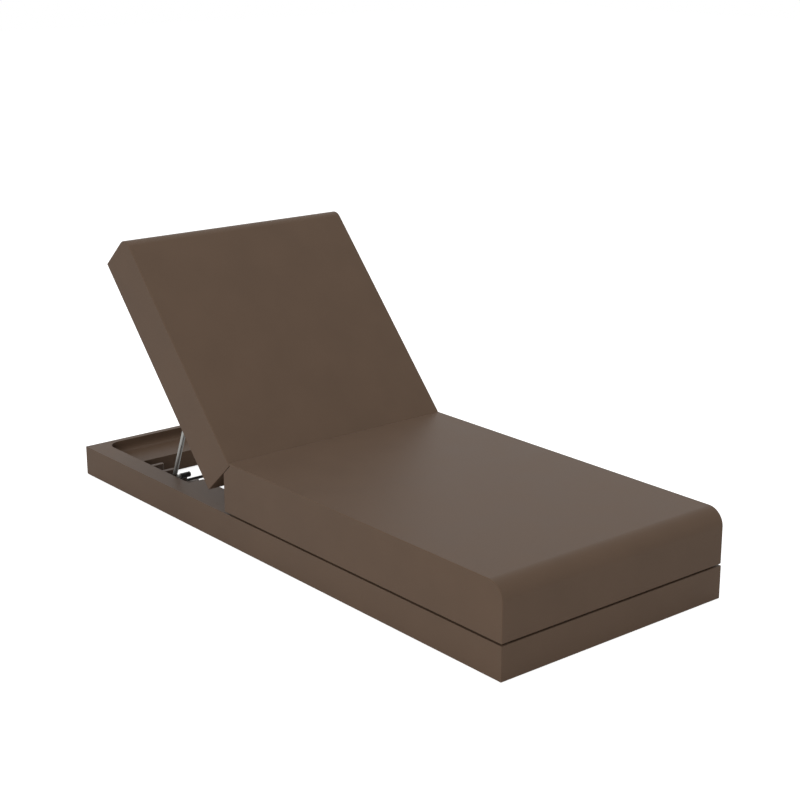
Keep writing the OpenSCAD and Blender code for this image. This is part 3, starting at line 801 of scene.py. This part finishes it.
class LOUNGER_OT_racks(bpy.types.Operator):
    """Build the prop racks, their screws and the tie rod"""

    bl_idname = "lounger.racks"
    bl_label = "Racks"

    def execute(self, context):
        piece("near_rack", rack(), "base", "moulded_polypropylene", "near_prop_rack")
        piece("far_rack", rack(), "base", "moulded_polypropylene", "far_prop_rack",
              place=Matrix.Scale(-1, 4, (0, 1, 0)))
        screws("rack_socket_screws", "base", "rack_screws", 1,
               lambda box: 1 if box[0].y > 0 else -1, RACK_SCREW)
        softened("powder_coated_steel", "base", PLATE_EDGE, "rack_tie_rod")
        return {"FINISHED"}


class LOUNGER_OT_fixings(bpy.types.Operator):
    """Build the glides, plugs and buffers, and finish the bolts and inserts"""

    bl_idname = "lounger.fixings"
    bl_label = "Fixings"

    def execute(self, context):
        rubber = "moulded_rubber"
        pads("rubber_glides", "base", rubber, "base_glides", STEM, GLIDE_EDGE)
        pads("base_plug", "base", rubber, "base_vent_plug", STEM, PLUG_EDGE)
        pads("seat_plug", "base", rubber, "seat_vent_plug", STEM, PLUG_EDGE)
        pads("back_plug", "backrest", rubber, "back_vent_plug", STEM, PLUG_EDGE, RAISED)
        pads("rubber_buffers", "backrest", rubber, "back_buffers", BUFFER_STEM, BUFFER_EDGE, RAISED)
        screws("seat_socket_bolts", "base", "seat_bolts", 2, lambda box: 1, SEAT_BOLT)
        softened("drawn_stainless_steel", "base", WASHER_EDGE, "seat_bolt_washers")
        dress("turned_brass", "seat_inserts", "seat_bracket_inserts", "back_tongue_inserts",
              "prop_saddle_inserts")
        return {"FINISHED"}


class LOUNGER_OT_hinges(bpy.types.Operator):
    """Build and finish the backrest's two hinges"""

    bl_idname = "lounger.hinges"
    bl_label = "Hinges"

    def execute(self, context):
        steel = "drawn_stainless_steel"
        softened(steel, "base", PLATE_EDGE, "near_seat_hinge_bracket", "far_seat_hinge_bracket")
        softened(steel, "base", PIN_EDGE, "near_hinge_pin", "far_hinge_pin")
        softened(steel, "base", THIN_EDGE, "hinge_pin_clips")
        softened(steel, "backrest", PLATE_EDGE, "near_back_hinge_tongue", "far_back_hinge_tongue")
        softened("natural_nylon", "backrest", THIN_EDGE, "near_hinge_bushes", "far_hinge_bushes")
        screws("bracket_screws", "base", "seat_bracket_screws", 0, lambda box: 1, FIXING_SCREW)
        screws("tongue_screws", "backrest", "back_tongue_screws", 0, lambda box: -1, FIXING_SCREW,
               RAISED)
        return {"FINISHED"}


class LOUNGER_OT_prop(bpy.types.Operator):
    """Build the bent-rod prop, its foot caps and its saddles"""

    bl_idname = "lounger.prop"
    bl_label = "Prop"

    def execute(self, context):
        rod_low, rod_high = whole("prop_bail", PROPPED)
        cap_low, cap_high = whole("near_prop_foot_cap", PROPPED)
        radius = rod_high.z
        leg = -rod_low.x - radius
        half = rod_high.y - radius
        foot = CAP_WALL - cap_high.y
        bm = bail(radius, leg, half, foot)
        piece("prop_rod", bm, "prop", "drawn_stainless_steel", "prop_bail", place=PROPPED)

        rim = cap_low.y + foot
        outer = radius + CAP_WALL
        lip = CAP_WALL / 3
        for side, name in ((1, "near"), (-1, "far")):
            cap = turned([(0, 0), (radius, 0), (radius, rim),
                          *fillet((outer - lip, rim + lip), lip, -90, 0, 2),
                          *fillet((outer - CAP_WALL, 0), CAP_WALL, 0, 90), (0, CAP_WALL)],
                         SMALL_SIDES)
            seat = Matrix.Translation((-leg, -side * foot, 0)) @ facing(1, side)
            piece(name + "_foot_cap", cap, "prop", "moulded_rubber", name + "_prop_foot_cap",
                  place=PROPPED @ seat)

        softened("black_nylon", "backrest", SADDLE_EDGE, "prop_saddle_bases", "prop_saddle_caps")
        screws("saddle_screws", "backrest", "prop_saddle_screws", 2, lambda box: 1, FIXING_SCREW,
               RAISED)
        return {"FINISHED"}


class LOUNGER_OT_stage(bpy.types.Operator):
    """Set up the floor, the light and the camera"""

    bl_idname = "lounger.stage"
    bl_label = "Stage"

    def execute(self, context):
        stage = context.scene.lounger_stage
        context.scene.view_settings.view_transform = "Standard"

        # The floor keeps the lounger's shadow. What makes it white is seen by the camera, and a
        # little by shiny pieces, and lights nothing.
        bm = bmesh.new()
        bmesh.ops.create_grid(bm, x_segments=1, y_segments=1, size=FLOOR_HALF)
        mesh = bpy.data.meshes.new("floor")
        bm.to_mesh(mesh)
        bm.free()
        floor = bpy.data.objects.new("floor", mesh)
        context.collection.objects.link(floor)
        made, tree = material("white_studio_floor")
        path = add(tree, "ShaderNodeLightPath")
        mirrored = add(tree, "ShaderNodeMath", {0: path.outputs["Is Glossy Ray"],
                                                1: FLOOR_MIRRORED}, operation="MULTIPLY")
        straight_on = add(tree, "ShaderNodeMath", {0: path.outputs["Is Camera Ray"],
                                                   1: path.outputs["Is Transmission Ray"]},
                          operation="MAXIMUM")
        glow = add(tree, "ShaderNodeMath", {0: straight_on.outputs[0], 1: FLOOR_GLOW,
                                            2: mirrored.outputs[0]}, operation="MULTIPLY_ADD")
        paint = add(tree, "ShaderNodeBsdfDiffuse", {"Color": linear(stage.floor)})
        white = add(tree, "ShaderNodeEmission", {"Color": linear("#FFFFFF"),
                                                 "Strength": glow.outputs[0]})
        both = add(tree, "ShaderNodeAddShader", {0: paint.outputs[0], 1: white.outputs[0]})
        add(tree, "ShaderNodeOutputMaterial", {"Surface": both.outputs[0]})
        mesh.materials.append(made)

        # The surroundings look fully white and light the lounger by the strength of the sky
        world = bpy.data.worlds.new("white_studio")
        context.scene.world = world
        world.use_nodes = True
        tree = world.node_tree
        tree.nodes.clear()
        path = add(tree, "ShaderNodeLightPath")
        straight_on = add(tree, "ShaderNodeMath", {0: path.outputs["Is Camera Ray"],
                                                   1: path.outputs["Is Transmission Ray"]},
                          operation="MAXIMUM")
        seen = add(tree, "ShaderNodeMath", {0: straight_on.outputs[0],
                                            1: path.outputs["Is Glossy Ray"]}, operation="MAXIMUM")
        level = add(tree, "ShaderNodeMapRange", {"Value": seen.outputs[0], "To Min": stage.sky,
                                                 "To Max": 1})
        sky = add(tree, "ShaderNodeBackground", {"Color": linear("#FFFFFF"),
                                                 "Strength": level.outputs["Result"]})
        add(tree, "ShaderNodeOutputWorld", {"Surface": sky.outputs[0]})

        for name, power, place in (("key", stage.key, KEY_PLACE), ("top", stage.top, TOP_PLACE)):
            lamp = bpy.data.lights.new(name, "AREA")
            lamp.shape = "SQUARE"
            lamp.size = LAMP_WIDTH
            lamp.energy = power
            hung = bpy.data.objects.new(name, lamp)
            hung.location = place
            hung.rotation_euler = (-hung.location).to_track_quat("-Z", "Y").to_euler()
            context.collection.objects.link(hung)

        camera = bpy.data.cameras.new("camera")
        camera.lens = stage.lens
        camera.sensor_width = SENSOR_MM
        eye = bpy.data.objects.new("camera", camera)
        context.collection.objects.link(eye)
        yaw, pitch, roll = stage.yaw, stage.pitch, stage.roll
        ahead = Vector((-math.sin(yaw) * math.cos(pitch), math.cos(yaw) * math.cos(pitch),
                        -math.sin(pitch)))
        right = Vector((math.cos(yaw), math.sin(yaw), 0))
        up = right.cross(ahead)
        turned_right = right * math.cos(roll) + up * math.sin(roll)
        turned_up = up * math.cos(roll) - right * math.sin(roll)
        axes = Matrix((turned_right, turned_up, -ahead)).transposed()
        eye.matrix_world = Matrix.Translation(stage.eye) @ axes.to_4x4()
        context.scene.camera = eye
        return {"FINISHED"}


OPERATORS = (LOUNGER_OT_base, LOUNGER_OT_seat, LOUNGER_OT_backrest, LOUNGER_OT_racks,
             LOUNGER_OT_fixings, LOUNGER_OT_hinges, LOUNGER_OT_prop, LOUNGER_OT_stage)


class LOUNGER_PT_panel(bpy.types.Panel):
    """Lists the lounger's pieces, sizes and colours"""

    bl_idname = "LOUNGER_PT_panel"
    bl_label = "Lounger"
    bl_space_type = "VIEW_3D"
    bl_region_type = "UI"
    bl_category = "Lounger"

    def draw(self, context):
        for operator in OPERATORS:
            self.layout.operator(operator.bl_idname)
        for group in (context.scene.lounger_sizes, context.scene.lounger_colours,
                      context.scene.lounger_stage):
            for field in group.__annotations__:
                self.layout.prop(group, field)


CLASSES = (LoungerSizes, LoungerColours, LoungerStage, *OPERATORS, LOUNGER_PT_panel)


def register():
    for each in CLASSES:
        bpy.utils.register_class(each)
    bpy.types.Scene.lounger_sizes = PointerProperty(type=LoungerSizes)
    bpy.types.Scene.lounger_colours = PointerProperty(type=LoungerColours)
    bpy.types.Scene.lounger_stage = PointerProperty(type=LoungerStage)


def unregister():
    del bpy.types.Scene.lounger_sizes
    del bpy.types.Scene.lounger_colours
    del bpy.types.Scene.lounger_stage
    for each in reversed(CLASSES):
        bpy.utils.unregister_class(each)


def main():
    register()
    bpy.ops.lounger.base()
    bpy.ops.lounger.seat()
    bpy.ops.lounger.backrest()
    bpy.ops.lounger.racks()
    bpy.ops.lounger.fixings()
    bpy.ops.lounger.hinges()
    bpy.ops.lounger.prop()
    bpy.ops.lounger.stage()


if __name__ == "__main__":
    main()
